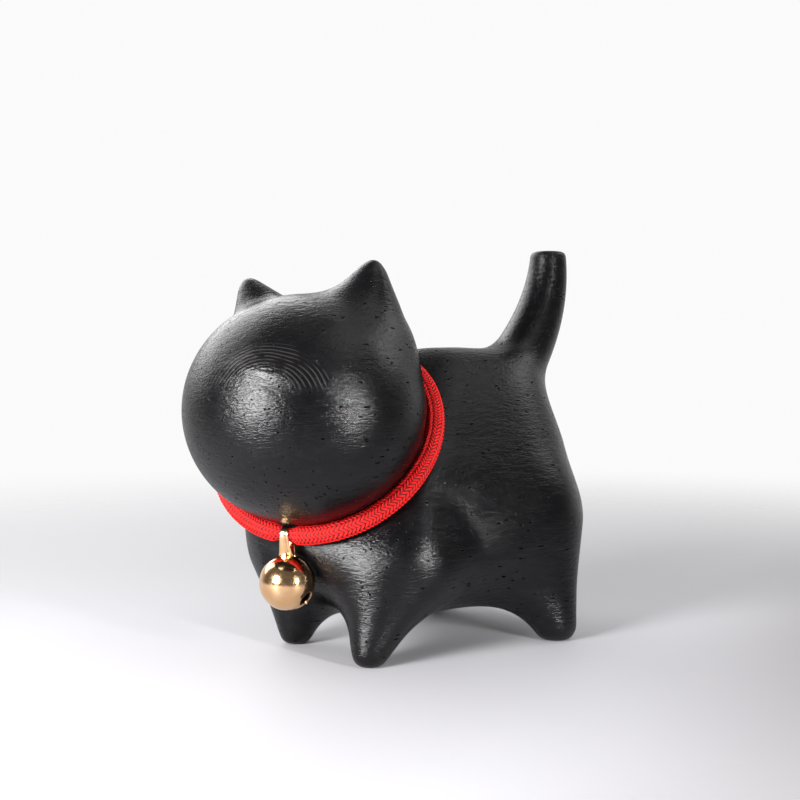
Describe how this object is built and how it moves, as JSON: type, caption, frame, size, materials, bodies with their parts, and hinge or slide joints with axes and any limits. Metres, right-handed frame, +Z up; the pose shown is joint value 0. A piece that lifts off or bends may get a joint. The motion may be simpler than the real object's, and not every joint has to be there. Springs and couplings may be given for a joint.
{
  "type": "cat figurine",
  "caption": "Plump carved wooden cat standing on short legs, with a round elastic cord collar at its neck and a small jingle bell hanging from it.",
  "frame": {"origin": "on the floor, at the middle of the footprint box", "axes": "+Z up, +Y from the cat's front to its tail, +X to the cat's left"},
  "size_m": [0.0396, 0.0718, 0.0626],
  "materials": {
    "wood": "satin",
    "cord": "matte",
    "strands": "matte",
    "bell": "polished",
    "pellet": "satin"
  },
  "bodies": {
    "cat": {"carved_cat": "wood"},
    "collar": {"collar_cover": "cord", "collar_strands": "strands", "collar_splice": "cord"},
    "bell": {"bell_shell": "bell", "bell_loop": "bell"},
    "pellet": {"bell_pellet": "pellet"}
  },
  "joints": [
    {"name": "collar_turn", "type": "hinge", "parent": "cat", "child": "collar", "pos_m": [-0.00204, -0.01196, 0.03186], "axis": [0.3961, -0.6836, 0.613], "range_deg": [-12, 1]},
    {"name": "bell_swing", "type": "hinge", "parent": "collar", "child": "bell", "pos_m": [0.00178, -0.02173, 0.01849], "axis": [-0.848, -0.5299, 0], "range_deg": [0, 40]},
    {"name": "pellet_roll", "type": "hinge", "parent": "bell", "child": "pellet", "pos_m": [0.00178, -0.02173, 0.01159], "axis": [0.848, 0.5299, 0], "range_deg": [-110, 110]}
  ]
}
